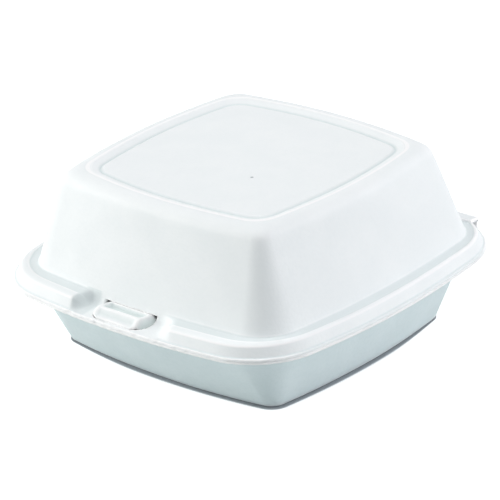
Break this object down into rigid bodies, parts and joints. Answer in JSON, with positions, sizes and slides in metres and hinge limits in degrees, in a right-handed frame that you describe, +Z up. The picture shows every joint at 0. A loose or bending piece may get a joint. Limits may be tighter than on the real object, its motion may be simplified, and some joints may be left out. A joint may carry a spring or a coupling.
{
  "type": "foam clamshell food container",
  "caption": "Closed white foam clamshell food container: square tray, domed lid with a sunk top panel, folded hinge at the back and a tongue latch in front.",
  "frame": {"origin": "middle of the flat bottom of the tray, under the middle of the closed container's bounding box", "axes": "+Z up, +Y towards the hinge, -Y towards the latch, +X along the fold"},
  "size_m": [0.1524, 0.157, 0.0716],
  "materials": {
    "foam": "white expanded polystyrene foam sheet, smooth pressed skin with a faint bead texture"
  },
  "bodies": {
    "base": {"base_tray": "foam"},
    "lid": {"lid": "foam"}
  },
  "joints": [
    {"name": "lid_hinge", "type": "hinge", "parent": "base", "child": "lid", "pos_m": [0, 0.0776, 0.02905], "axis": [-1, 0, 0], "range_deg": [0, 155]}
  ]
}
